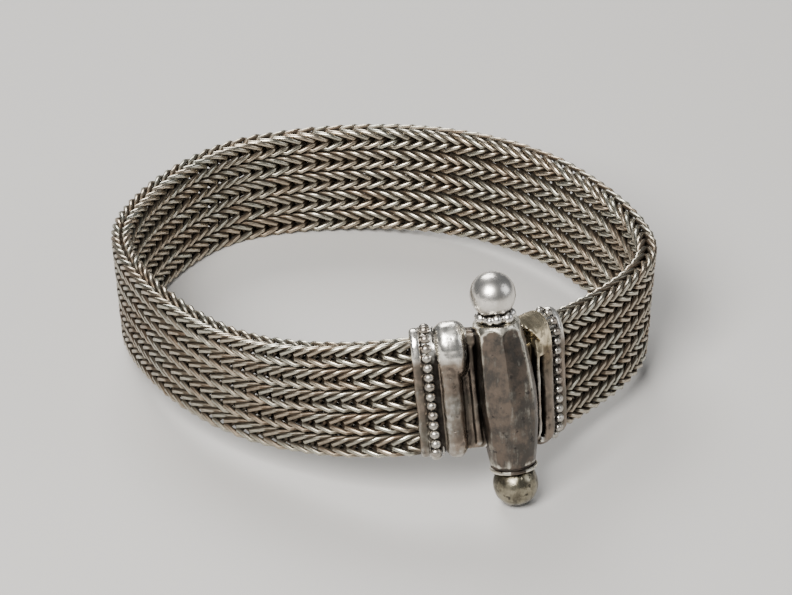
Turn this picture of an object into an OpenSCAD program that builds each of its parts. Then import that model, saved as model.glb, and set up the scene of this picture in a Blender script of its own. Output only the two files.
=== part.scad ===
// Multi-strand chain bracelet with a pin clasp, lying as it rests on a table.
// Five loop-in-loop strands run side by side from one terminal round to the other.
// Each strand is drawn here as a tube of its outer form.

/* [Band] */
// Width of one square strand
strand_w = 2.64; // [2.4:0.02:2.7]
// Distance between neighbouring strands
strand_pitch = 2.75; // [2.75:0.05:2.9]
// Rounding of a strand's long edges
strand_round = 0.85; // [0.6:0.05:1]
// How far a strand runs into its terminal
strand_seat = 1.3; // [1:0.1:1.4]

/* [Terminals] */
// Height of the plain rim that holds the strands
cap_h = 15.3; // [15.2:0.1:16]
// Thickness of the rim
cap_t = 3.8; // [3.6:0.1:4.2]
// Width of the rim along the band
cap_l = 1.15; // [1.1:0.05:1.3]
// Diameter of one bead of the beaded wire
bead_d = 0.95; // [0.8:0.05:1]
// Beads on each face
bead_count = 12; // [10:1:13]
// Thickness of the round rib beside the beads
rib_t = 4.5; // [4.2:0.1:4.7]
// Width of the rib along the band
rib_l = 2.4; // [2.2:0.1:2.6]

/* [Clasp] */
// Length of the barrel
barrel_l = 18.1; // [17.5:0.1:19]
// Largest diameter of the barrel
barrel_d = 6.7; // [6.5:0.1:7]
// Diameter of the ball on the pin
ball_d = 5.3; // [4.8:0.1:5.6]
// Diameter of the ball under the barrel
finial_d = 5.2; // [5.1:0.1:5.4]
// Diameter of the pin's shank
shank_d = 2.2; // [2:0.1:2.4]
// Radial play of the shank in its bore
shank_play = 0.08; // [0.05:0.01:0.1]

/* [Pose] */
// Lean of the whole bracelet, propped up by the ball under the clasp
rest_tilt = 6.76; // [6.7:0.01:6.8]

/* [Hidden] */

silver = "silver";
worn_silver = "darkgray";
sides = 48;
slack = 0.15;

// Middle of the band seen from above: x, y, rise and outward lean in degrees.
// It runs from the left terminal round the back to the right one.
route = [
    [-9.6, -27.3, 0.5, -11.5],
    [-22, -13.2, -0.5, 2.5],
    [-26, 4.1, 1.2, 3],
    [-19.5, 22.8, 0.8, 0],
    [0, 33.3, 1.05, -6],
    [20.5, 24, 0.7, 1],
    [29.7, 4.7, 0.4, 6.5],
    [28.1, -16.9, -2.2, 7.5],
    [9.6, -27.3, -2, -4.5]
];
// Direction and slope in which the band leaves each terminal
end_turn = 26.7;
end_slope = [0.03, 0.165];
end_pull = 1.05;
rings_per_span = 4;

// Pin axis: its middle, its lean, and the lift that seats the lower ball on the table
pin_mid = [0, -32.1, -0.2];
pin_lean = 7;
top_z = barrel_l / 2;
foot_z = -barrel_l / 2;
finial_z = foot_z - 1.95;
ball_z = top_z + 3.2;
shank_end_z = foot_z + 1.2;
knuckle_l = 11.8;
knuckle_d = 4.2;
seat_lift = finial_d / 2 - finial_height();
// Moves the middle of the outer box to the origin
box_mid = [2.55, -1.3];

// Places along a terminal, measured from the route's end toward the pin
rim_x = 0.45;
bead_x = 2.2;
wire_x = 2.95;
rib_x = 4.65;
wire_d = 0.45;
body_t = 3.2;
cap_rise = 0.35;
rib_h = cap_h + 0.8;
collar_beads = 12;
collar_r = 2;
pin_reach = 10.8;

function unit(v) = v / norm(v);
// Height of the lower ball's centre once the bracelet leans
function finial_height() = (pin_mid.z + finial_z * cos(pin_lean)) * cos(rest_tilt)
    - (pin_mid.y + finial_z * sin(pin_lean)) * sin(rest_tilt);

// Cubic through the route: two neighbours set each direction, the terminals set the ends
function span(i) = norm([route[i + 1].x - route[i].x, route[i + 1].y - route[i].y]);
function pull(i) =
    i == 0 ? [for (v = [-cos(end_turn), sin(end_turn), -end_slope[0] / end_pull])
        v * span(0) * end_pull]
    : i == len(route) - 1 ? [for (v = [-cos(end_turn), -sin(end_turn), end_slope[1] / end_pull])
        v * span(i - 1) * end_pull]
    : [for (k = [0:2]) (route[i + 1][k] - route[i - 1][k]) / 2];
function lean_pull(i) = (route[min(i + 1, len(route) - 1)][3] - route[max(i - 1, 0)][3])
    / (i == 0 || i == len(route) - 1 ? 1 : 2);
function knot(i) = [for (k = [0:2]) route[i][k]];
function blend(a, ma, b, mb, t) = (2 * t ^ 3 - 3 * t ^ 2 + 1) * a + (t ^ 3 - 2 * t ^ 2 + t) * ma
    + (3 * t ^ 2 - 2 * t ^ 3) * b + (t ^ 3 - t ^ 2) * mb;
function heading(a, ma, b, mb, t) = (6 * t ^ 2 - 6 * t) * a + (3 * t ^ 2 - 4 * t + 1) * ma
    + (6 * t - 6 * t ^ 2) * b + (3 * t ^ 2 - 2 * t) * mb;

// Frame at one place on the route: point, direction, outward and upward
function frame(i, t) =
    let (point = blend(knot(i), pull(i), knot(i + 1), pull(i + 1), t),
        ahead = unit(heading(knot(i), pull(i), knot(i + 1), pull(i + 1), t)),
        lean = blend(route[i][3], lean_pull(i), route[i + 1][3], lean_pull(i + 1), t),
        flat_out = unit([-ahead.y, ahead.x, 0]),
        flat_up = cross(ahead, flat_out))
    [point, ahead, flat_out * cos(lean) - flat_up * sin(lean), flat_out * sin(lean) + flat_up * cos(lean)];
spans = len(route) - 1;
rings = [for (i = [0:spans - 1], k = [0:rings_per_span - 1]) frame(i, k / rings_per_span),
    frame(spans - 1, 1)];
first = rings[0];
last = rings[len(rings) - 1];

// Strand section: a rounded square of twelve corners
section = [for (q = [0:3], k = [0:2])
    let (turn = 90 * q + 45 * k, flat = strand_w / 2 - strand_round)
    [flat * (q == 0 || q == 3 ? 1 : -1) + strand_round * cos(turn),
        flat * (q < 2 ? 1 : -1) + strand_round * sin(turn)]];

module rest() {
    translate([-box_mid.x, -box_mid.y, seat_lift]) rotate([-rest_tilt, 0, 0]) children();
}

// Puts a shape at a chain end: x toward the pin, y inward, z up the rim
module at_end(place, toward) {
    x = place[1] * toward;
    y = -place[2];
    z = place[3];
    multmatrix([[x.x, y.x, z.x, place[0].x], [x.y, y.y, z.y, place[0].y],
        [x.z, y.z, z.z, place[0].z]]) children();
}

module at_pin() {
    translate(pin_mid) rotate([-pin_lean, 0, 0]) children();
}

module strand(number) {
    rise = (3 - number) * strand_pitch;
    count = len(section);
    ends = [[first[0] - first[1] * strand_seat, first[1], first[2], first[3]],
        [last[0] + last[1] * strand_seat, last[1], last[2], last[3]]];
    stations = [ends[0], for (r = rings) r, ends[1]];
    points = [for (r = stations, s = section) r[0] + r[3] * (rise + s.y) + r[2] * s.x];
    walls = [for (i = [0:len(stations) - 2], k = [0:count - 1])
        let (a = i * count + k, b = i * count + (k + 1) % count)
        [a, b, b + count, a + count]];
    closing = (len(stations) - 1) * count;
    rest() polyhedron(points, concat(walls, [[for (k = [count - 1:-1:0]) k]],
        [[for (k = [0:count - 1]) closing + k]]), convexity = 6);
}

// Upright block with round ends, its middle at x
module upright(x, length, thickness, height, rise) {
    r = min(length, thickness) / 2;
    translate([x, 0, rise - height / 2]) linear_extrude(height) union() {
        square([length, thickness - 2 * r + 0.001], center = true);
        for (s = [-1, 1]) translate([0, s * (thickness / 2 - r)]) circle(r, $fn = sides);
    }
}

module beaded_wire() {
    step = cap_h / (bead_count + 0.5);
    for (face = [-1, 1], k = [0:bead_count - 1])
        translate([bead_x, face * body_t / 2, cap_rise + (k - (bead_count - 1) / 2) * step])
            sphere(d = bead_d, $fn = 24);
}

// Cap that holds the strands, with its rim, beaded wire, plain wire and rib
module terminal_head() {
    translate([rim_x, -cap_t / 2, cap_rise - cap_h / 2]) cube([cap_l, cap_t, cap_h]);
    translate([rim_x + 0.1, -body_t / 2, cap_rise - cap_h / 2 + 0.3])
        cube([rib_x - rim_x, body_t, cap_h - 0.6]);
    beaded_wire();
    for (face = [-1, 1]) translate([wire_x, face * body_t / 2, cap_rise - cap_h / 2 + 0.4])
        cylinder(h = cap_h - 0.8, d = wire_d, $fn = sides);
    upright(rib_x, rib_l, rib_t, rib_h, cap_rise);
}

module strand_pocket() {
    h = 4 * strand_pitch + strand_w + 2 * slack;
    t = strand_w + 2 * slack;
    translate([-1, -t / 2, -h / 2]) cube([strand_seat + slack + 1, t, h]);
}

// Plate between a terminal and the clasp's axis
module web(reach, thickness, low, high) {
    translate([rib_x, -thickness / 2, low]) cube([reach - rib_x, thickness, high - low]);
}

module barrel_form() {
    r = barrel_d / 2;
    rotate_extrude($fn = 96) polygon([[0, foot_z - 0.01], [r - 0.65, foot_z], [r - 0.6, foot_z + 0.5],
        [r - 0.75, foot_z + 0.6], [r - 0.2, -0.25 * barrel_l], [r, 0], [r - 0.1, 0.25 * barrel_l],
        [r - 0.4, top_z - 0.7], [r - 0.9, top_z], [0, top_z]]);
}

module finial() {
    translate([0, 0, finial_z]) sphere(d = finial_d, $fn = 96);
}

module shank_bore(low, high) {
    translate([0, 0, low]) cylinder(h = high - low, d = shank_d + 2 * shank_play, $fn = sides);
}

module left_terminal() {
    color(silver) rest() difference() {
        union() {
            at_end(first, -1) {
                terminal_head();
                web(pin_reach - 2.6, 1.6, -6.8, 6.9);
                web(pin_reach - 2.4, 3, 4.6, 7.4);
                web(pin_reach - 2.4, 3, -7, -5.2);
            }
            at_pin() {
                barrel_form();
                finial();
            }
        }
        at_end(first, -1) strand_pocket();
        at_pin() {
            shank_bore(shank_end_z - 0.2, top_z + 1);
            translate([0, 0, -knuckle_l / 2 - slack])
                cylinder(h = knuckle_l + 2 * slack, d = knuckle_d + 2 * slack, $fn = sides);
        }
        at_end(last, 1) translate([rib_x, -0.75 - 2 * slack, -6.1])
            cube([pin_reach - rib_x, 1.5 + 4 * slack, 12.2]);
    }
}

module right_terminal() {
    color(silver) rest() difference() {
        union() {
            at_end(last, 1) {
                terminal_head();
                web(pin_reach - 1.6, 1.5, -5.3, 5.1);
            }
            at_pin() translate([0, 0, -knuckle_l / 2]) cylinder(h = knuckle_l, d = knuckle_d, $fn = sides);
        }
        at_end(last, 1) strand_pocket();
        at_pin() shank_bore(-knuckle_l, knuckle_l);
    }
}

module clasp_pin() {
    color(worn_silver) rest() at_pin() {
        translate([0, 0, ball_z]) sphere(d = ball_d, $fn = 96);
        translate([0, 0, top_z + 0.1]) cylinder(h = 1, r = collar_r, $fn = sides);
        for (k = [0:collar_beads - 1]) rotate(k * 360 / collar_beads)
            translate([collar_r, 0, top_z + 0.62]) sphere(d = bead_d, $fn = 24);
        translate([0, 0, shank_end_z]) cylinder(h = ball_z - shank_end_z, d = shank_d, $fn = sides);
    }
}

module chain_1() { color(silver) strand(1); }
module chain_2() { color(silver) strand(2); }
module chain_3() { color(silver) strand(3); }
module chain_4() { color(silver) strand(4); }
module chain_5() { color(silver) strand(5); }

chain_1();
chain_2();
chain_3();
chain_4();
chain_5();
left_terminal();
right_terminal();
clasp_pin();
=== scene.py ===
import math
import random
import bmesh
import bpy
from mathutils import Matrix, Vector, noise
from mathutils.bvhtree import BVHTree


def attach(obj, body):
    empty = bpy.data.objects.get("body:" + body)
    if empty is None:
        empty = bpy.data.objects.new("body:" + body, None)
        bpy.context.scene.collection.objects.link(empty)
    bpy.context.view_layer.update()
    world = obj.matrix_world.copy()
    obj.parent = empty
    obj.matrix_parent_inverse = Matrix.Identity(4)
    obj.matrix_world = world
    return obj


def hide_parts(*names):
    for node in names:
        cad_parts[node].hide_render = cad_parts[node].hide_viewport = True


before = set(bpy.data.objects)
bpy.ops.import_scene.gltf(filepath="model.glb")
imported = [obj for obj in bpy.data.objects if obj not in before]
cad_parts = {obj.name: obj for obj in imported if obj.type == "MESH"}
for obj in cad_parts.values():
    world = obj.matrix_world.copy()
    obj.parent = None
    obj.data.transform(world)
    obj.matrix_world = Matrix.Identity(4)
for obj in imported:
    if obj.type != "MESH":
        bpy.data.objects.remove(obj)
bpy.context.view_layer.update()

millimetre = 0.001

# camera at the photograph's angle
photoView = {
    "place": (-0.2892, -0.4966, 0.3640),
    "look": (0.4247, 0.7377, -0.5249),
    "framing": (0.00539, -0.00056),     # from the bracelet's middle to the picture's middle
    "lens": 258,
    "clipStart": 0.01,
}

# middle of the band seen from above, in mm: x, y, rise, outward lean in degrees
band = {
    "route": [
        (-9.6, -27.3, 0.5, -11.5), (-22, -13.2, -0.5, 2.5), (-26, 4.1, 1.2, 3),
        (-19.5, 22.8, 0.8, 0), (0, 33.3, 1.05, -6), (20.5, 24, 0.7, 1),
        (29.7, 4.7, 0.4, 6.5), (28.1, -16.9, -2.2, 7.5), (9.6, -27.3, -2, -4.5),
    ],
    "endTurn": 26.7,
    "endSlope": (0.03, 0.165),
    "endPull": 1.05,
    "steps": 40,
}
rest = {"middle": (2.55, -1.3), "lift": 9.7044, "tilt": 6.76}
pinPlace = {"middle": (0, -32.1, -0.2), "lean": 7}


def addObject(name, data):
    made = bpy.data.objects.new(name, data)
    bpy.context.scene.collection.objects.link(made)
    return made


def setCamera(view):
    data = bpy.data.cameras.new("camera")
    data.lens = view["lens"]
    data.clip_start = view["clipStart"]
    camera = addObject("camera", data)
    look = Vector(view["look"])
    right = look.cross(Vector((0, 0, 1))).normalized()
    up = right.cross(look)
    aim = look + right * view["framing"][0] + up * view["framing"][1]
    camera.location = view["place"]
    camera.rotation_euler = aim.to_track_quat("-Z", "Y").to_euler()
    bpy.context.scene.camera = camera


setCamera(photoView)
print("camera set")


def restMatrix():
    # from the CAD's millimetres to metres, with the band lying on the table
    moved = Matrix.Translation((-rest["middle"][0], -rest["middle"][1], rest["lift"]))
    tilted = Matrix.Rotation(math.radians(-rest["tilt"]), 4, "X")
    return Matrix.Scale(millimetre, 4) @ moved @ tilted


def pullAt(i):
    # how the route's four values change at one of its points
    route, last = band["route"], len(band["route"]) - 1
    if 0 < i < last:
        return [(route[i + 1][k] - route[i - 1][k]) / 2 for k in range(4)]
    j, side = (1, 1) if i == 0 else (last - 1, -1)
    turn, pull = math.radians(band["endTurn"]), band["endPull"]
    reach = math.dist(route[i][:2], route[j][:2])
    slope = -band["endSlope"][0] if i == 0 else band["endSlope"][1]
    return [-math.cos(turn) * reach * pull, side * math.sin(turn) * reach * pull,
            slope * reach, (route[j][3] - route[i][3]) * side]


def routeFrame(i, t):
    # place, heading, outward and upward direction at part t of span i
    a, b, ma, mb = band["route"][i], band["route"][i + 1], pullAt(i), pullAt(i + 1)
    weights = (2 * t**3 - 3 * t**2 + 1, t**3 - 2 * t**2 + t, 3 * t**2 - 2 * t**3, t**3 - t**2)
    slopes = (6 * t**2 - 6 * t, 3 * t**2 - 4 * t + 1, 6 * t - 6 * t**2, 3 * t**2 - 2 * t)
    value = [sum(w * p[k] for w, p in zip(weights, (a, ma, b, mb))) for k in range(4)]
    heading = [sum(w * p[k] for w, p in zip(slopes, (a, ma, b, mb))) for k in range(3)]
    ahead = Vector(heading).normalized()
    flatOut = Vector((-ahead.y, ahead.x, 0)).normalized()
    flatUp = ahead.cross(flatOut)
    lean = math.radians(value[3])
    outward = flatOut * math.cos(lean) - flatUp * math.sin(lean)
    upward = flatOut * math.sin(lean) + flatUp * math.cos(lean)
    return Vector(value[:3]), ahead, outward, upward


def routeTable():
    spans, steps = len(band["route"]) - 1, band["steps"]
    rows = [routeFrame(i, k / steps) for i in range(spans) for k in range(steps)]
    rows.append(routeFrame(spans - 1, 1))
    lengths = [0.0]
    for before, after in zip(rows, rows[1:]):
        lengths.append(lengths[-1] + (after[0] - before[0]).length)
    return rows, lengths


routeRows, routeLengths = routeTable()
bandLength = routeLengths[-1]


def placeOnBand(along, outward, upward):
    # a point at a distance along the band, off its middle line by outward and upward
    if along <= 0 or along >= bandLength:
        row = routeRows[0] if along <= 0 else routeRows[-1]
        extra = along if along <= 0 else along - bandLength
        return row[0] + row[1] * extra + row[2] * outward + row[3] * upward
    low, high = 0, len(routeLengths) - 1
    while high - low > 1:
        middle = (low + high) // 2
        low, high = (middle, high) if routeLengths[middle] <= along else (low, middle)
    part = (along - routeLengths[low]) / (routeLengths[high] - routeLengths[low])
    a, b = routeRows[low], routeRows[high]
    point, out, up = (a[k].lerp(b[k], part) for k in (0, 2, 3))
    return point + out.normalized() * outward + up.normalized() * upward


def endMatrix(row, toward):
    # x toward the pin, y inward, z up the terminal
    columns = (row[1] * toward, -row[2], row[3], row[0])
    return Matrix([[column[k] for column in columns] for k in range(3)] + [(0, 0, 0, 1)])


toTable = restMatrix()
leftEnd = toTable @ endMatrix(routeRows[0], -1)
rightEnd = toTable @ endMatrix(routeRows[-1], 1)
pinAxis = (toTable @ Matrix.Translation(pinPlace["middle"])
           @ Matrix.Rotation(math.radians(-pinPlace["lean"]), 4, "X"))
print("band length", round(bandLength, 1), "mm")


class Signal:
    # an output socket; arithmetic on it adds Math nodes
    def __init__(self, finish, socket):
        self.finish, self.socket = finish, socket

    def math(self, operation, first, second):
        return self.finish.node("ShaderNodeMath", {"operation": operation}, {0: first, 1: second})

    def __add__(self, other):
        return self.math("ADD", self, other)

    def __sub__(self, other):
        return self.math("SUBTRACT", self, other)

    def __rsub__(self, other):
        return self.math("SUBTRACT", other, self)

    def __mul__(self, other):
        return self.math("MULTIPLY", self, other)

    __radd__, __rmul__ = __add__, __mul__


class Finish:
    # a material and the nodes that feed its shader
    def __init__(self, name):
        self.material = bpy.data.materials.new(name)
        self.material.use_nodes = True
        self.tree = self.material.node_tree
        self.shader = self.tree.nodes["Principled BSDF"]

    def node(self, kind, settings=None, sockets=None, output=0):
        made = self.tree.nodes.new(kind)
        for key, value in (settings or {}).items():
            setattr(made, key, value)
        for key, value in (sockets or {}).items():
            self.feed(made.inputs[key], value)
        return Signal(self, made.outputs[output])

    def feed(self, socket, value):
        if isinstance(value, Signal):
            self.tree.links.new(value.socket, socket)
        else:
            socket.default_value = value

    def shade(self, baseColor, **others):
        self.feed(self.shader.inputs["Base Color"], baseColor)
        for key, value in others.items():
            self.feed(self.shader.inputs[key.capitalize()], value)

    def mix(self, share, first, second, blend="MIX"):
        return self.node("ShaderNodeMix", {"data_type": "RGBA", "blend_type": blend},
                         {0: share, 6: first, 7: second}, 2)

    def step(self, value, low, high):
        return self.node("ShaderNodeMapRange", {"interpolation_type": "SMOOTHSTEP"},
                         {0: value, 1: low, 2: high})

    def attribute(self, name):
        return self.node("ShaderNodeAttribute", {"attribute_name": name}, output=2)

    def place(self, turn=(0, 0, 0), scale=(1, 1, 1)):
        spot = self.node("ShaderNodeTexCoord", output=3)
        return self.node("ShaderNodeMapping", None, {0: spot, 2: turn, 3: scale})

    def cloud(self, place, scale, detail=3, roughness=0.55):
        sockets = {"Vector": place, "Scale": scale, "Detail": detail, "Roughness": roughness}
        return self.node("ShaderNodeTexNoise", None, sockets)

    def bump(self, height, strength, distance):
        sockets = {"Height": height, "Strength": strength, "Distance": distance}
        bumped = self.node("ShaderNodeBump", None, sockets)
        self.feed(self.shader.inputs["Normal"], bumped)


def colour(red, green, blue):
    return (red, green, blue, 1)


# The finishes read these attributes of a piece's vertices:
# free is openness and darkens crevices as painted shade, edge and the rubbing are wear with painted
# highlight added, tone varies links and flats, a groove's darkening is painted shade and warmth a
# yellow skin.

chainLook = {
    "oxideAndShade": colour(0.088, 0.075, 0.062),
    "wire": colour(0.132, 0.108, 0.085),
    "rubbedAndHighlit": colour(0.52, 0.476, 0.405),
    "warm": colour(1.0, 0.90, 0.80),
    "cool": colour(0.94, 1.0, 0.98),
    "fresh": 0.27,     # roughness where the wire is rubbed and painted with highlight
    "dull": 0.50,
    "patchScale": 420,
    "grainScale": 4200,
    "clearStep": (0.10, 0.62),     # openness from the oxide, darkened as painted shade in crevices, to the wire's own colour
    "topStep": (1.20, 1.52),
    "metalLow": 0.65,
    "bump": (0.35, 0.00003),
}


def chainFinish():
    look = chainLook
    finish = Finish("oxidisedChain")
    spot = finish.place()
    rubAndHighlight = finish.attribute("rubAndHighlight")
    tone = finish.attribute("tone")
    free = finish.attribute("free")
    patches = finish.cloud(spot, look["patchScale"]) - 0.5
    speckle = finish.cloud(spot, look["grainScale"], 2)
    grain = speckle - 0.5
    # partly real oxide, partly painted shade: where free is low, crevices darken to the oxide
    # colour
    clear = finish.step(free + patches * 0.25 + grain * 0.15, *look["clearStep"])
    # top is rubbed wear plus painted highlight, on open and proud wires and most on the top strand
    top = finish.step(free + rubAndHighlight * 0.5 + patches * 0.3 + grain * 0.2 + (tone - 0.5) * 0.1,
                      *look["topStep"])
    worn = finish.mix(clear, look["oxideAndShade"], look["wire"])
    bright = finish.mix(top, worn, look["rubbedAndHighlit"])
    tint = finish.mix(tone, look["warm"], look["cool"])
    finish.shade(finish.mix(1.0, bright, tint, "MULTIPLY"),
                 metallic=clear * (1 - look["metalLow"]) + look["metalLow"],
                 roughness=look["dull"] - top * (look["dull"] - look["fresh"]) + grain * 0.2)
    finish.bump(speckle, *look["bump"])
    return finish.material


# body and stain are the tarnished skin, bright its rubbed parts and painted highlights; the darkest
# colour is painted shade in its crevices and the dark of its pits
silverLook = {
    "worn": {
        "shadeAndPits": colour(0.020, 0.017, 0.015), "body": colour(0.155, 0.124, 0.101),
        "stain": colour(0.076, 0.069, 0.062), "bright": colour(0.70, 0.66, 0.56),
        "rough": 0.37, "pits": 0.8, "streak": 0.8, "mottle": 0.4, "matte": 0,
        "tarnish": 620, "rubbedAndHighlit": (0.56, 0.84),
    },
    "ball": {
        "shadeAndPits": colour(0.10, 0.09, 0.08), "body": colour(0.80, 0.77, 0.72),
        "stain": colour(0.62, 0.59, 0.54), "bright": colour(0.94, 0.92, 0.88),
        "rough": 0.29, "pits": 0.35, "streak": 0.1, "mottle": 0.1, "matte": 0,
        "tarnish": 200, "rubbedAndHighlit": (0.55, 0.80),
    },
    "pitted": {
        "shadeAndPits": colour(0.024, 0.020, 0.014), "body": colour(0.31, 0.28, 0.205),
        "stain": colour(0.085, 0.075, 0.055), "bright": colour(0.84, 0.82, 0.74),
        "rough": 0.30, "pits": 0.9, "streak": 0.1, "mottle": 0.3, "matte": 0,
        "tarnish": 420, "rubbedAndHighlit": (0.58, 0.80),
    },
    "terminal": {
        "shadeAndPits": colour(0.018, 0.015, 0.013), "body": colour(0.25, 0.20, 0.16),
        "stain": colour(0.13, 0.115, 0.092), "bright": colour(0.86, 0.83, 0.76),
        "rough": 0.34, "pits": 0.6, "streak": 0.3, "mottle": 0.35, "matte": 0.05,
        "tarnish": 260, "rubbedAndHighlit": (0.58, 0.86),
    },
}

# what all four silvers share
silverSkin = {
    "patchScale": 260, "grainScale": 3000, "streakScale": 1500, "pitScale": 1100,
    "drawn": 0.12,     # streaks run along the barrel
    "clearStep": (0.38, 0.93), "stainStep": (0.34, 0.68), "pitStep": (0.62, 0.70),
    "warmTint": colour(1.0, 0.89, 0.67), "warmPits": 0.05,
    "bumpDistance": 0.00005,
}


def silverFinish(name):
    look, skin = silverLook[name], silverSkin
    finish = Finish(name + "Silver")
    spot = finish.place()
    lean = math.radians(rest["tilt"] + pinPlace["lean"])
    drawn = finish.place((lean, 0, 0), (1, 1, skin["drawn"]))
    edge = finish.attribute("edge")
    free = finish.attribute("free")
    tone = finish.attribute("tone")
    grooveShade = finish.attribute("grooveShade")
    warmth = finish.attribute("warmth")
    patches = finish.cloud(spot, skin["patchScale"], 4)
    tarnish = finish.cloud(spot, look["tarnish"], 5)
    grain = finish.cloud(spot, skin["grainScale"], 3)
    streaks = finish.cloud(drawn, skin["streakScale"], 3)
    pitted = finish.cloud(spot, skin["pitScale"], 2) + warmth * skin["warmPits"]
    pits = finish.step(pitted, *skin["pitStep"])
    dust = (patches - 0.5) * 0.8 + (streaks - 0.5) * look["streak"] + (grain - 0.5) * 0.3
    # painted shade: crevices and the groove darken towards the darkest colour
    clear = finish.step(free + dust * 0.4 - grooveShade, *skin["clearStep"])
    # top is wear on proud edges plus the painted highlights added to edge on terminals and barrel
    top = finish.step(edge + dust * 0.45, *look["rubbedAndHighlit"])
    spread = tarnish + (streaks - 0.5) * 0.5 + (grain - 0.5) * 0.3 + tone * 0.14
    stained = finish.mix(finish.step(spread, *skin["stainStep"]), look["body"], look["stain"])
    body = finish.mix(clear, look["shadeAndPits"], stained)
    rubbedAndHighlit = finish.mix(top, body, look["bright"])
    tinted = finish.mix(warmth, rubbedAndHighlit, skin["warmTint"], "MULTIPLY")
    finish.shade(finish.mix(pits * look["pits"], tinted, look["shadeAndPits"]),
                 metallic=1.0 - pits * 0.3 - (1.0 - top) * look["matte"],
                 roughness=(patches + streaks - 1.0) * look["mottle"] - top * 0.08 + look["rough"])
    finish.bump(grain * 0.4 + streaks * 0.6 + patches * 0.5 - pits * 0.8,
                look["pits"] * 0.6, skin["bumpDistance"])
    return finish.material


def once(items):
    # the items in order, each of them once
    return list(dict.fromkeys(items))


def pick(made, kind):
    return [item for item in made if isinstance(item, kind)]


def wholeShape(bm):
    return bm.verts[:] + bm.edges[:] + bm.faces[:]


def meshFrom(name, bm):
    mesh = bpy.data.meshes.new(name)
    bm.to_mesh(mesh)
    bm.free()
    return mesh


def ramp(value, low, high):
    # 0 up to low, 1 from high on
    return max(0, min(1, (value - low) / (high - low)))


def easedRamp(value, low, high):
    part = ramp(value, low, high)
    return part * part * (3 - 2 * part)


def sweepClosed(bm, path, radius, sides):
    # a round wire along a closed path, its frames turned as little as they can be
    count = len(path)
    tangents = [(path[(i + 1) % count] - path[i - 1]).normalized() for i in range(count)]
    side = tangents[0].orthogonal().normalized()
    sidesOn = [side]
    for i in range(1, count + 1):
        turn = tangents[i - 1].rotation_difference(tangents[i % count])
        side = turn @ side
        sidesOn.append(side)
    first, last, axis = sidesOn[0], sidesOn[-1], tangents[0]
    leftover = math.atan2(last.cross(first).dot(axis), last.dot(first))

    def station(i):
        z = tangents[i]
        x = Matrix.Rotation(leftover * i / count, 3, z) @ sidesOn[i]
        y = z.cross(x)
        return Matrix([(x[k], y[k], z[k], path[i][k]) for k in range(3)] + [(0, 0, 0, 1)])

    ring = bmesh.ops.create_circle(bm, segments=sides, radius=radius, matrix=station(0))["verts"]
    firstEdges = edges = once(edge for vert in ring for edge in vert.link_edges)
    for i in range(1, count):
        made = bmesh.ops.extrude_edge_only(bm, edges=edges)["geom"]
        verts = pick(made, bmesh.types.BMVert)
        edges = [item for item in pick(made, bmesh.types.BMEdge)
                 if item.verts[0] in verts and item.verts[1] in verts]
        bmesh.ops.transform(bm, matrix=station(i) @ station(i - 1).inverted(), verts=verts)
    bmesh.ops.bridge_loops(bm, edges=firstEdges + edges)


crevices = {"rays": 24, "grazing": 0.1, "lift": 0.02, "chainReach": 0.0007, "claspReach": 0.0026}


def rayDirections(count):
    # directions spread evenly over a sphere
    golden = math.pi * (3 - math.sqrt(5))
    directions = []
    for k in range(count):
        height = 1 - 2 * (k + 0.5) / count
        width = math.sqrt(1 - height * height)
        directions.append(Vector((math.cos(golden * k) * width, math.sin(golden * k) * width,
                                  height)))
    return directions


def shadeCrevices(shaded, everything, reach):
    # free: 1 where nothing is near, 0 deep in a crevice
    corners, faces = [], []
    for piece in everything:
        first = len(corners)
        corners += [vert.co.copy() for vert in piece.data.vertices]
        faces += [[first + i for i in face.vertices] for face in piece.data.polygons]
    tree = BVHTree.FromPolygons(corners, faces)
    directions = rayDirections(crevices["rays"])
    for piece in shaded:
        values = []
        for vert in piece.data.vertices:
            start = vert.co + vert.normal * reach * crevices["lift"]
            free = total = 0
            for direction in directions:
                weight = vert.normal.dot(direction)
                if weight > crevices["grazing"]:
                    total += weight
                    if tree.ray_cast(start, direction, reach)[0] is None:
                        free += weight
            values.append(free / max(total, 1e-6))
        layer = piece.data.attributes.new("free", "FLOAT", "POINT")
        layer.data.foreach_set("value", values)


def makePiece(name, bm, finish, body, nodes, sharp=40):
    # sharp: edges that bend more, in degrees, stay crisp
    bmesh.ops.remove_doubles(bm, verts=bm.verts, dist=1e-7)
    bmesh.ops.recalc_face_normals(bm, faces=bm.faces)
    if bm.calc_volume(signed=True) < 0:
        bmesh.ops.reverse_faces(bm, faces=bm.faces)
    for face in bm.faces:
        face.smooth = True
    for edge in bm.edges:
        edge.smooth = len(edge.link_faces) < 2 or edge.calc_face_angle() < math.radians(sharp)
    mesh = meshFrom(name, bm)
    mesh.materials.append(finish)
    piece = addObject(name, mesh)
    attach(piece, body)
    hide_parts(*nodes)
    return piece


# each folded link passes through the two before it
strand = {
    "count": 5,
    "pitch": 2.75,
    "links": 102,
    "half": 1.28,     # half of a strand's width
    "wireRadius": 0.318,
    "sides": 6,
    "seat": 1.25,     # how far a strand runs into its terminal
    # a quarter of one folded link in mm: back along the strand, outward, upward
    "quarter": [(-4.74, 0.36, 0), (-3.71, 0.31, 1.06), (-2.26, 0.95, 1.0), (-0.69, 0.98, 0.29),
                (0.10, 0, 0.28)],
    "sway": 0.035,
    "twist": 1.6,
    "swell": 0.03,
    "stretch": 0.03,
    "squareness": 6,     # of the outline that the rubbing follows
    "strandHighlight": [0.12, 0.01, -0.01, -0.02, 0],     # painted highlight: how much lighter each strand is made, the top one most, as light from above falls on it
    "innerHighlight": 0.15,     # partly wear by the wrist, partly painted highlight: the side that faces inward is made lighter
    "sharp": 80,
    "seed": 300,
}


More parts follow.
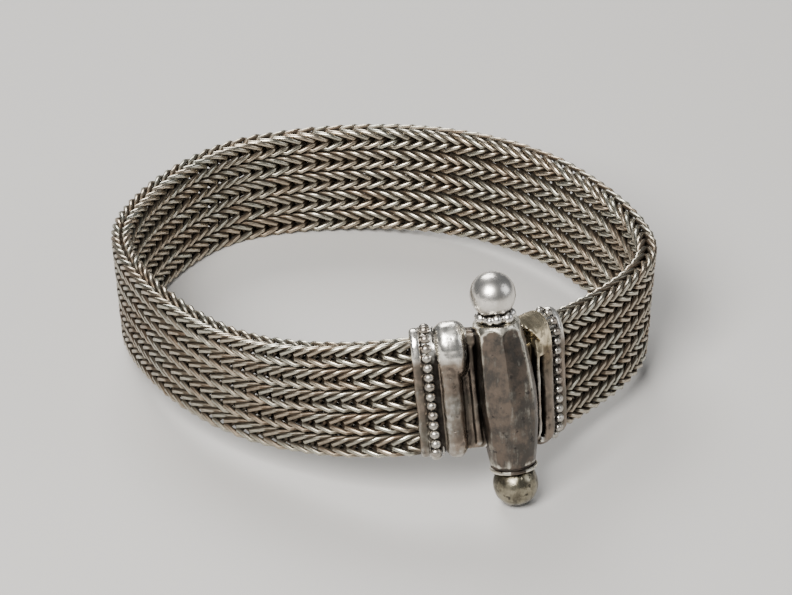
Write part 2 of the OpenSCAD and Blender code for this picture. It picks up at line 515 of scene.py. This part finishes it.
def linkPath():
    quarter = [Vector(point) for point in strand["quarter"]]
    path = []
    for outward, upward, backward in ((1, 1, False), (-1, 1, True), (-1, -1, False), (1, -1, True)):
        points = [Vector((p.x, p.y * outward, p.z * upward)) for p in quarter]
        path += (points[::-1] if backward else points)[:-1]
    return path


def cutAt(bm, place, forward):
    # cuts the wires flush where a strand is soldered into its terminal
    made = bmesh.ops.bisect_plane(bm, geom=wholeShape(bm), plane_co=(place, 0, 0),
                                  plane_no=(1, 0, 0), clear_outer=forward,
                                  clear_inner=not forward)["geom_cut"]
    bmesh.ops.holes_fill(bm, edges=pick(made, bmesh.types.BMEdge), sides=0)


def strandPiece(number, finish):
    draw = random.Random(strand["seed"] + number)
    bm = bmesh.new()
    rubAndHighlight = bm.verts.layers.float.new("rubAndHighlight")
    tone = bm.verts.layers.float.new("tone")
    sweepClosed(bm, linkPath(), strand["wireRadius"], strand["sides"])
    links = [list(bm.verts)]
    shape = wholeShape(bm)
    for i in range(1, strand["links"]):
        made = bmesh.ops.duplicate(bm, geom=shape)["geom"]
        links.append(pick(made, bmesh.types.BMVert))
    rise = ((strand["count"] + 1) / 2 - number) * strand["pitch"]
    seat, back, power = strand["seat"], -strand["quarter"][0][0], strand["squareness"]
    pitch = (bandLength + 2 * seat + back) / (strand["links"] - 0.5)
    for i, verts in enumerate(links):
        along = (i + 0.5) * pitch - seat + draw.uniform(-1, 1) * strand["sway"]
        turn = Matrix.Rotation(math.radians(draw.uniform(-1, 1) * strand["twist"]), 3, "X")
        grow = 1 + draw.uniform(-1, 0.3) * strand["swell"]
        lengthen = 1 + draw.uniform(-1, 1) * strand["stretch"]
        shade = draw.random()
        for vert in verts:
            spot = turn @ vert.co
            proud = (abs(spot.y) ** power + abs(spot.z) ** power) ** (1 / power)
            # rubbing grows on proud wires; the strand's own share and the inward side's share are
            # painted highlight
            vert[rubAndHighlight] = proud / strand["half"] + strand["strandHighlight"][number - 1]
            if spot.y < 0:
                vert[rubAndHighlight] += strand["innerHighlight"]
            vert[tone] = shade
            vert.co = (along + spot.x * lengthen, spot.y * grow, spot.z * grow)
    cutAt(bm, -seat, False)
    cutAt(bm, bandLength + seat, True)
    for vert in bm.verts:
        vert.co = toTable @ placeOnBand(vert.co.x, vert.co.y, rise + vert.co.z)
    return makePiece(f"strand_{number}", bm, finish, "bracelet",
                     [f"chain_{number}"], strand["sharp"])


chainSilver = chainFinish()
strands = [strandPiece(number + 1, chainSilver) for number in range(strand["count"])]
print(strand["count"], "strands of", strand["links"], "links")


def markWear(bm, reach, rounds=1):
    # edge: 0.5 on flat metal, more on a proud edge, less in a crease
    edge = bm.verts.layers.float.new("edge")
    bm.normal_update()
    near = {vert: [item.other_vert(vert) for item in vert.link_edges] for vert in bm.verts}
    values = {}
    for vert in bm.verts:
        bend = sum(item.calc_face_angle_signed(0) / max(item.calc_length(), 1e-6)
                   for item in vert.link_edges if len(item.link_faces) == 2)
        values[vert] = bend / max(len(vert.link_edges), 1)
    for k in range(rounds):
        values = {vert: (values[vert] + sum(values[other] for other in near[vert]))
                  / (1 + len(near[vert])) for vert in bm.verts}
    for vert in bm.verts:
        vert[edge] = 0.5 + max(-0.5, min(0.5, values[vert] * reach))
    return edge


def roughen(bm, dents, seed=0):
    # every vertex moves along its normal; a dent is its depth, its size and its own seed
    for amount, size, own in dents:
        bm.normal_update()
        shift = Vector(((seed + own) * 7.3, (seed + own) * 3.1, -(seed + own) * 5.7))
        for vert in bm.verts:
            spot = vert.co / size + shift
            vert.co += vert.normal * amount * (noise.noise(spot) + 0.5 * noise.noise(spot * 2.3))


def block(bm, low, high, corner, segments):
    # a box with rounded edges
    made = bmesh.ops.create_cube(bm, size=1)["verts"]
    bmesh.ops.scale(bm, vec=Vector(high) - Vector(low), verts=made)
    bmesh.ops.translate(bm, vec=(Vector(high) + Vector(low)) / 2, verts=made)
    bmesh.ops.bevel(bm, geom=once(edge for vert in made for edge in vert.link_edges),
                    offset=corner, segments=segments, profile=0.5, affect="EDGES", material=-1)


def ovalUpright(bm, start, end, half, low, high, caps, corner, segments, sides=32):
    # an upright strip whose top and bottom are half ovals, its edges rounded
    turn = Matrix.Rotation(math.radians(90), 4, "Y") @ Matrix.Rotation(math.pi / sides, 4, "Z")
    outline = bmesh.ops.create_circle(bm, cap_ends=True, segments=sides, radius=1, matrix=turn)
    for vert in outline["verts"]:
        z = vert.co.z
        rise = high - caps[0] + z * caps[0] if z > 0 else low + caps[1] + z * caps[1]
        vert.co = (start, vert.co.y * half, rise)
    base = once(face for vert in outline["verts"] for face in vert.link_faces)
    made = bmesh.ops.extrude_face_region(bm, geom=base, use_keep_orig=True)["geom"]
    bmesh.ops.translate(bm, vec=(end - start, 0, 0), verts=pick(made, bmesh.types.BMVert))
    ends = pick(made, bmesh.types.BMFace) + base
    bmesh.ops.bevel(bm, geom=once(edge for face in ends for edge in face.edges),
                    offset=corner, segments=segments, profile=0.5, affect="EDGES", material=-1)


def turned(bm, profile, steps):
    # a profile of (radius, height) spun round z
    verts = [bm.verts.new((radius, 0, height)) for radius, height in profile]
    edges = [bm.edges.new(pair) for pair in zip(verts, verts[1:])]
    bmesh.ops.spin(bm, geom=verts + edges, axis=(0, 0, 1), cent=(0, 0, 0), steps=steps,
                   angle=math.tau, use_merge=True)


def arc(middle, radius, start, end, count):
    # points (radius, height) of an arc in a turned profile, from start to end in degrees
    angles = [math.radians(start + (end - start) * k / count) for k in range(count + 1)]
    return [(middle[0] + radius * math.cos(a), middle[1] + radius * math.sin(a)) for a in angles]


def fused(bm, voxel, rounds):
    # melts the parts into one skin with soft joints, as solder does
    lump = addObject("parts", meshFrom("parts", bm))
    melt = lump.modifiers.new("melt", "REMESH")
    melt.mode, melt.voxel_size = "VOXEL", voxel
    evaluated = lump.evaluated_get(bpy.context.evaluated_depsgraph_get())
    skin = bpy.data.meshes.new_from_object(evaluated)
    bpy.data.objects.remove(lump)
    bm = bmesh.new()
    bm.from_mesh(skin)
    bpy.data.meshes.remove(skin)
    for k in range(rounds):
        bmesh.ops.smooth_vert(bm, verts=bm.verts, factor=0.5, use_axis_x=True, use_axis_y=True,
                              use_axis_z=True)
    return bm


def addCut(bm, parts, place, normal):
    # adds parts, cut off past a plane
    bmesh.ops.bisect_plane(parts, geom=wholeShape(parts), plane_co=place, plane_no=normal,
                           clear_outer=True)
    gap = [edge for edge in parts.edges if len(edge.link_faces) == 1]
    bmesh.ops.holes_fill(parts, edges=gap, sides=0)
    mesh = meshFrom("cut", parts)
    bm.from_mesh(mesh)
    bpy.data.meshes.remove(mesh)


# in mm from a terminal's end of the band: x toward the pin, y inward, z up
terminal = {
    "rise": 0.35, "height": 15.3, "caps": (3.4, 1.6),     # caps: the half ovals, top and bottom
    "rim": (0.45, 1.6), "thickness": 3.8, "rimCorner": 0.42,
    "core": (0.75, 4.4), "coreThickness": 3.2, "coreInset": 0.35, "coreCorner": 0.2,
    "ribFrom": 3.4, "ribThickness": 4.5, "ribHeight": 16.1, "ribCaps": (4.0, 2.2),
    "beadAt": 2.2, "beadProud": 0.16, "beadShape": (1.16, 0.96, 1, 1), "beadInset": 0.1,
    "beadVary": 0.05, "beadJitter": 0.04, "beadSegments": (12, 8),
    "wires": [(1.52, 0.28, 0), (3.08, 0.28, -0.2)],     # x, thickness, how proud
    "wireStep": 0.6, "wireSides": 8,
    "voxel": 0.11, "smoothing": 3, "dents": [(0.07, 1.9, 0), (0.012, 0.5, 3)],
    "wear": (0.11, 5), "beadWear": 0.10,
    "highlightFrom": 3.2, "highlightTo": 6.2,     # painted highlight: the upper end is made brighter, as light from above falls on it
    "grooveShadeFrom": 2.65, "grooveShadeFade": 0.15, "grooveShadeWire": 2.85,     # painted shade in the groove between the beads and the rib
    "warmFrom": 0.5, "warmTo": 4.5,
}

# past its reach along x, only a share of the upper end's painted highlight is left;
# an oval is start, end, half thickness, foot, top, caps, corner and its segments
terminalSides = {
    "left": {
        "seed": 11, "ribTo": 5.9, "ribCorner": 1.175, "bead": 1.1, "beadStep": 1.12,
        "rubAndHighlight": 0.40, "highlightReach": 6.9, "highlightPast": 0, "ribHighlight": 0.09, "grooveShade": 0.40, "warmth": 0,
        "ovals": [(3.15, 6.9, 2.42, 1.6, 8.4, (3.2, 3.2), 1.45, 7)],     # the rib's bulging top
        "blocks": [
            ((4.6, -0.6, -6.8), (8.2, 0.6, 6.9), 0.2, 2),     # plate
            ((4.6, -1.2, 5.3), (8.4, 1.2, 7.3), 0.7, 4),      # block above it
            ((6.8, -0.95, -6.5), (7.7, 0.95, 6.2), 0.42, 4),  # the hinge's upright tube
        ],
    },
    "right": {
        "seed": 12, "ribTo": 5.16, "ribCorner": 0.8272, "bead": 1.02, "beadStep": 1.17,
        "rubAndHighlight": 0.28, "highlightReach": 5.0, "highlightPast": 1.0, "ribHighlight": 0, "grooveShade": 0.32, "warmth": 1,
        # thin strip beside the rib, with an open slit between them
        "ovals": [(5.82, 6.32, 1.75, -7.2, 7.6, (4.0, 2.2), 0.15, 2)],
        "blocks": [
            ((4.16, -0.75, -5.3), (9.2, 0.75, 5.1), 0.2, 2),    # plate
            ((4.66, -2.0, 3.5), (6.06, 2.0, 6.6), 0.3, 3),      # joins strip and rib at the top
            ((4.66, -1.75, -6.9), (6.06, 1.75, -6.2), 0.2, 2),  # and at the foot
        ],
        # lug that slopes from the rib's top to the barrel's top
        "lug": (4.16, 8.46, 2.1, 2.5, 8.35, (2.6, 2.6), 0.5, 4),
        "lugCut": ((5.86, 0, 5.3), (0.72, 0, -0.8)),
    },
}


def span(height):
    # foot and top of a part that is centred on the terminal
    return terminal["rise"] - height / 2, terminal["rise"] + height / 2


def headSolid(own):
    # rim, core, rib and what is soldered to them, melted together
    t = terminal
    bm = bmesh.new()
    low, high = span(t["height"])
    ovalUpright(bm, *t["rim"], t["thickness"] / 2, low, high, t["caps"], t["rimCorner"], 4)
    ovalUpright(bm, *t["core"], t["coreThickness"] / 2, low + t["coreInset"],
                high - t["coreInset"], t["caps"], t["coreCorner"], 3)
    ovalUpright(bm, t["ribFrom"], own["ribTo"], t["ribThickness"] / 2, *span(t["ribHeight"]),
                t["ribCaps"], own["ribCorner"], 7)
    for values in own["ovals"]:
        ovalUpright(bm, *values)
    for values in own["blocks"]:
        block(bm, *values)
    if "lug" in own:
        lug = bmesh.new()
        ovalUpright(lug, *own["lug"])
        addCut(bm, lug, *own["lugCut"])
    bm = fused(bm, t["voxel"], t["smoothing"])
    roughen(bm, t["dents"], own["seed"])
    return bm


def markHead(bm, own):
    # wear, painted highlight on the upper end and the rib, painted shade in the groove, and the
    # yellow skin of a terminal's head
    t = terminal
    edge = markWear(bm, *t["wear"])
    grooveShade = bm.verts.layers.float.new("grooveShade")
    warmth = bm.verts.layers.float.new("warmth")
    for vert in bm.verts:
        x, z = vert.co.x, vert.co.z
        # painted highlight: brighter towards the upper end
        past = own["highlightPast"] if x > own["highlightReach"] else 1
        vert[edge] += own["rubAndHighlight"] * past * easedRamp(z, t["highlightFrom"], t["highlightTo"])
        # painted highlight: the rib is made lighter all over
        if t["ribFrom"] < x < own["ribTo"] + 0.2:
            vert[edge] += own["ribHighlight"]
        # painted shade in the groove before the rib
        if t["grooveShadeFrom"] < x < t["ribFrom"]:
            vert[grooveShade] = own["grooveShade"] * min(1, (x - t["grooveShadeFrom"]) / t["grooveShadeFade"])
        if x > t["ribFrom"]:
            vert[warmth] = own["warmth"] * ramp(z, t["warmFrom"], t["warmTo"])


def roundThe(at, half, low, high, caps, step, corners=48):
    # points round the terminal along its oval outline, step apart
    points = []
    for k in range(corners):
        angle = math.tau * (k + 0.5) / corners
        z = math.sin(angle)
        rise = high - caps[0] + z * caps[0] if z > 0 else low + caps[1] + z * caps[1]
        points.append(Vector((at, half * math.cos(angle), rise)))
    lengths = [0]
    for a, b in zip(points, points[1:] + points[:1]):
        lengths.append(lengths[-1] + (b - a).length)
    count = round(lengths[-1] / step)
    result = []
    for k in range(count):
        want = lengths[-1] * k / count
        i = max(j for j in range(len(points)) if lengths[j] <= want)
        part = (want - lengths[i]) / (lengths[i + 1] - lengths[i])
        result.append(points[i].lerp(points[(i + 1) % len(points)], part))
    return result


def beadsAndWires(own):
    t = terminal
    draw = random.Random(own["seed"])
    low, high = span(t["height"] - 2 * t["beadInset"])
    half, (across, down) = t["coreThickness"] / 2, t["beadSegments"]
    bm = bmesh.new()
    for spot in roundThe(t["beadAt"], half + t["beadProud"], low, high, t["caps"], own["beadStep"]):
        size = own["bead"] * (1 + draw.uniform(-1, 1) * t["beadVary"])
        axis = draw.uniform(0, math.tau), 4, (draw.random(), draw.random(), draw.random())
        jitter = Vector([draw.uniform(-1, 1) * t["beadJitter"] for k in range(3)])
        matrix = (Matrix.Translation(spot + jitter) @ Matrix.Diagonal(t["beadShape"])
                  @ Matrix.Rotation(*axis))
        bmesh.ops.create_uvsphere(bm, u_segments=across, v_segments=down, radius=size / 2,
                                  matrix=matrix)
    for at, wire, proud in t["wires"]:
        path = roundThe(at, half + proud, low, high, t["caps"], t["wireStep"])
        sweepClosed(bm, path, wire / 2, t["wireSides"])
    markWear(bm, t["beadWear"])
    grooveShade = bm.verts.layers.float.new("grooveShade")
    # painted shade on the beads and wires by the groove
    for vert in bm.verts:
        if vert.co.x > t["grooveShadeWire"]:
            vert[grooveShade] = own["grooveShade"]
    return bm


def terminalPieces(side, matrix, metal):
    own, nodes = terminalSides[side], [side + "_terminal"]
    bm = headSolid(own)
    markHead(bm, own)
    bmesh.ops.transform(bm, matrix=matrix, verts=bm.verts)
    head = makePiece(side + "Head", bm, metal, "bracelet", nodes)
    bm = beadsAndWires(own)
    bmesh.ops.transform(bm, matrix=matrix, verts=bm.verts)
    return [head, makePiece(side + "Beads", bm, metal, "bracelet", nodes)]


terminalSilver = silverFinish("terminal")
wornSilver = silverFinish("worn")
ballSilver = silverFinish("ball")
pittedSilver = silverFinish("pitted")
clasp = terminalPieces("left", leftEnd, terminalSilver)
clasp += terminalPieces("right", rightEnd, terminalSilver)
print("terminals")

# profiles are (radius, height) from the pin's middle, in mm; angles are degrees round the pin
barrel = {
    "top": 9.05, "steps": 120,
    "foot": [(0, -9.03), (2.45, -9.05)],
    "ring": ((2.54, -8.81), 0.24, -90, 90, 6),     # an arc: middle, radius, from, to, steps
    "side": [(2.48, -8.53), (2.48, -8.43), (2.65, -8.3), (2.78, -7.45), (2.98, -5.85),
             (3.2, -4.05), (3.34, -1.65), (3.4, 0), (3.37, 1.8), (3.28, 4), (3.18, 6),
             (3.02, 7.35)],
    "shoulder": (3.02, 7.45, 0.1, 16),     # radius, first height, step and rows
    "mouth": [(2.64, 9.05), (1.5, 9.05), (1.25, 8.93), (1.18, 8.75), (1.18, -8.05), (0, -8.05)],
    "cone": 2.64, "coneSlope": 0.40,
    "corners": [-216.6, -159.6, -107.6, -59.6, -6.6, 48.4, 93.4, 143.4],
    "flatness": (0.30, 0.90), "fadeFrom": -3, "fadeTo": 6.5,
    "belly": 0.42, "bellySide": -30, "bellyReach": 8.5,     # bulges to one side half-way up
    "outside": 2, "ringTop": -8.35,     # the bore and the foot ring stay round
    "tallEdge": 0.6, "tallCuts": 3, "sharp": 22,
    "dents": [(0.05, 2.2, 3), (0.03, 1.0, 4)], "wear": (0.5, 3),
    "greyFlat": (-112, -100, -50), "greyFade": (-2, 3),     # one flat is greyer low down
    "softRidge": (-128, -88), "softWear": 0.58,
    # a light streak along one ridge is partly wear, partly painted highlight
    "brightRidge": -60.5, "ridgeWidth": 7, "ridgeFade": (-1, 4), "ridgeWearAndHighlight": 0.2,
    # the filed cone's brightness is partly filed metal, partly painted highlight
    "filedWearAndHighlight": 0.86, "filedFade": 0.26, "filedReach": 1.3,
}
lowerBall = {
    "size": 5.25, "at": -11.0, "dents": [(0.06, 1.4, 5), (0.03, 0.5, 6)], "wear": 0.03,
}


def hammeredRadius(angle, z, radius):
    # seven hammered flats, clear near the top and soft lower down
    degrees = math.degrees(angle)
    corners = barrel["corners"]
    while degrees > corners[-1]:
        degrees -= 360
    while degrees < corners[0]:
        degrees += 360
    before = max(corner for corner in corners if corner <= degrees)
    after = min(corner for corner in corners if corner >= degrees)
    half, middle = math.radians(after - before) / 2, (after + before) / 2
    flat = math.cos(half) / math.cos(math.radians(degrees - middle))
    low, high = barrel["flatness"]
    share = low + (high - low) * easedRamp(z, barrel["fadeFrom"], barrel["fadeTo"])
    swell = max(0, 1 - (z / barrel["bellyReach"]) ** 2)
    swell *= max(0, math.cos(angle - math.radians(barrel["bellySide"])))
    return radius * (1 - share * (1 - flat)) + barrel["belly"] * swell


def hammer(bm):
    # shapes the flats and the filed cone above them; gives the filed vertices' numbers
    b, filed = barrel, []
    for vert in bm.verts:
        radius = vert.co.to_2d().length
        if radius > b["outside"] and vert.co.z > b["ringTop"]:
            cone = b["cone"] + (b["top"] - vert.co.z) * b["coneSlope"]
            flat = hammeredRadius(math.atan2(vert.co.y, vert.co.x), vert.co.z, radius)
            vert.co.x *= min(cone, flat) / radius
            vert.co.y *= min(cone, flat) / radius
            if cone < flat:
                filed.append(vert.index)
    return filed


def degreesRound(vert):
    return math.degrees(math.atan2(vert.co.y, vert.co.x))


def barrelPiece(metal):
    b = barrel
    radius, first, rowStep, rows = b["shoulder"]
    profile = b["foot"] + arc(*b["ring"]) + b["side"]
    profile += [(radius, first + rowStep * k) for k in range(rows)] + b["mouth"]
    bm = bmesh.new()
    tone = bm.verts.layers.float.new("tone")
    turned(bm, profile, b["steps"])
    tall = [edge for edge in bm.edges
            if abs((edge.verts[0].co - edge.verts[1].co).z) > b["tallEdge"]
            and edge.verts[0].co.to_2d().length > b["outside"]]
    bmesh.ops.subdivide_edges(bm, edges=tall, cuts=b["tallCuts"])
    bmesh.ops.remove_doubles(bm, verts=bm.verts, dist=1e-5)
    bmesh.ops.recalc_face_normals(bm, faces=bm.faces)
    bm.verts.index_update()
    greyFrom, greyFull, greyTo = b["greyFlat"]
    for vert in bm.verts:
        degrees = degreesRound(vert)
        if degrees < greyTo:
            vert[tone] = ramp(degrees, greyFrom, greyFull) * (1 - ramp(vert.co.z, *b["greyFade"]))
    filed = hammer(bm)
    roughen(bm, b["dents"])
    edge = markWear(bm, *b["wear"])
    bm.verts.ensure_lookup_table()
    for vert in bm.verts:
        degrees = degreesRound(vert)
        if b["softRidge"][0] < degrees < b["softRidge"][1]:
            vert[edge] = min(vert[edge], b["softWear"])
        # partly wear, partly painted highlight: a light streak along one ridge, stronger higher up
        near = max(0, 1 - abs(degrees - b["brightRidge"]) / b["ridgeWidth"])
        vert[edge] += b["ridgeWearAndHighlight"] * near * ramp(vert.co.z, *b["ridgeFade"])
    # the filed cone is made bright as painted highlight over its filed metal, less so further from
    # the top
    for i in filed:
        down = min(1, (b["top"] - bm.verts[i].co.z) / b["filedReach"])
        bm.verts[i][edge] = b["filedWearAndHighlight"] - b["filedFade"] * down
    bmesh.ops.transform(bm, matrix=pinAxis, verts=bm.verts)
    return makePiece("barrel", bm, metal, "bracelet", ["left_terminal"],
                     b["sharp"])


def addBall(bm, size, at, across=64, down=40):
    return bmesh.ops.create_uvsphere(bm, u_segments=across, v_segments=down, radius=size / 2,
                                     matrix=Matrix.Translation(at))["verts"]


def lowerBallPiece(metal):
    bm = bmesh.new()
    addBall(bm, lowerBall["size"], (0, 0, lowerBall["at"]))
    roughen(bm, lowerBall["dents"])
    markWear(bm, lowerBall["wear"])
    bmesh.ops.transform(bm, matrix=pinAxis, verts=bm.verts)
    return makePiece("lowerBall", bm, metal, "bracelet", ["left_terminal"])


clasp += [barrelPiece(wornSilver), lowerBallPiece(pittedSilver)]

pin = {
    "ball": 5.3, "ballAt": 12.25, "ballDent": 0.0016, "ballDentSize": 1.6,
    "collar": [(0, 8.6), (1.1, 8.6), (1.1, 9.15), (1.75, 9.17), (1.9, 9.4), (1.8, 10.0),
               (1.45, 10.15), (0, 10.2)],
    "grains": 10, "grain": (0.95, 1.4), "ringRadius": 1.9, "grainAt": 9.66,
    "grainTurn": 0.22, "grainOut": 0.1, "grainRise": 0.12,     # how far a grain strays
    "voxel": 0.08, "smoothing": 2, "dents": [(0.03, 0.5, 8)], "wear": 0.06,
    "shank": [(0, -7.85), (0.8, -7.85), (1.1, -7.55), (1.1, 8.8), (0, 8.8)],
    "steps": 40, "seed": 41,
}


def pinPiece(metal):
    draw = random.Random(pin["seed"])
    bm = bmesh.new()
    turned(bm, pin["collar"], pin["steps"])
    for k in range(pin["grains"]):
        stray = draw.uniform(-pin["grainTurn"], pin["grainTurn"])
        angle = math.tau * (k + stray) / pin["grains"]
        size = draw.uniform(*pin["grain"])
        out = pin["ringRadius"] + draw.uniform(-pin["grainOut"], pin["grainOut"])
        rise = pin["grainAt"] + draw.uniform(-pin["grainRise"], pin["grainRise"])
        addBall(bm, size, (math.cos(angle) * out, math.sin(angle) * out, rise), 16, 10)
    bm = fused(bm, pin["voxel"], pin["smoothing"])
    roughen(bm, pin["dents"])
    turned(bm, pin["shank"], pin["steps"])
    for vert in addBall(bm, pin["ball"], (0, 0, pin["ballAt"])):
        vert.co *= 1 + pin["ballDent"] * noise.noise(vert.co / pin["ballDentSize"])
    markWear(bm, pin["wear"])
    bmesh.ops.transform(bm, matrix=pinAxis, verts=bm.verts)
    return makePiece("pin", bm, metal, "pin", ["clasp_pin"])


clasp.append(pinPiece(ballSilver))
print("barrel and pin")
shadeCrevices(strands, strands + clasp, crevices["chainReach"])
shadeCrevices(clasp, strands + clasp, crevices["claspReach"])
print("crevices shaded")

studio = {
    "floor": colour(0.50, 0.49, 0.475),
    "floorReach": 3,
    "floorRoughness": 0.8,
    "world": colour(0.75, 0.78, 0.82),
    "worldStrength": 0.19,
    # name, place, size, power and tint
    "lamps": [
        ("key", (-0.34, -0.24, 0.44), 0.30, 8.0, (1.0, 0.98, 0.95)),
        ("fill", (0.45, -0.35, 0.30), 0.35, 0.8, (0.95, 0.97, 1.0)),
        ("back", (0.10, 0.42, 0.40), 0.30, 3.0, (1.0, 0.99, 0.97)),
    ],
}


def setStudio():
    bm = bmesh.new()
    bmesh.ops.create_grid(bm, x_segments=1, y_segments=1, size=studio["floorReach"])
    floor = addObject("floor", meshFrom("floor", bm))
    finish = Finish("paleFloor")
    finish.shade(studio["floor"], roughness=studio["floorRoughness"])
    floor.data.materials.append(finish.material)
    for name, place, size, power, tint in studio["lamps"]:
        data = bpy.data.lights.new(name, "AREA")
        data.energy, data.size, data.color = power, size, tint
        lamp = addObject(name, data)
        lamp.location = place
        lamp.rotation_euler = (-Vector(place)).to_track_quat("-Z", "Y").to_euler()
    world = bpy.data.worlds.new("studio")
    world.use_nodes = True
    backdrop = world.node_tree.nodes["Background"]
    backdrop.inputs["Color"].default_value = studio["world"]
    backdrop.inputs["Strength"].default_value = studio["worldStrength"]
    bpy.context.scene.world = world


setStudio()
print("studio set")
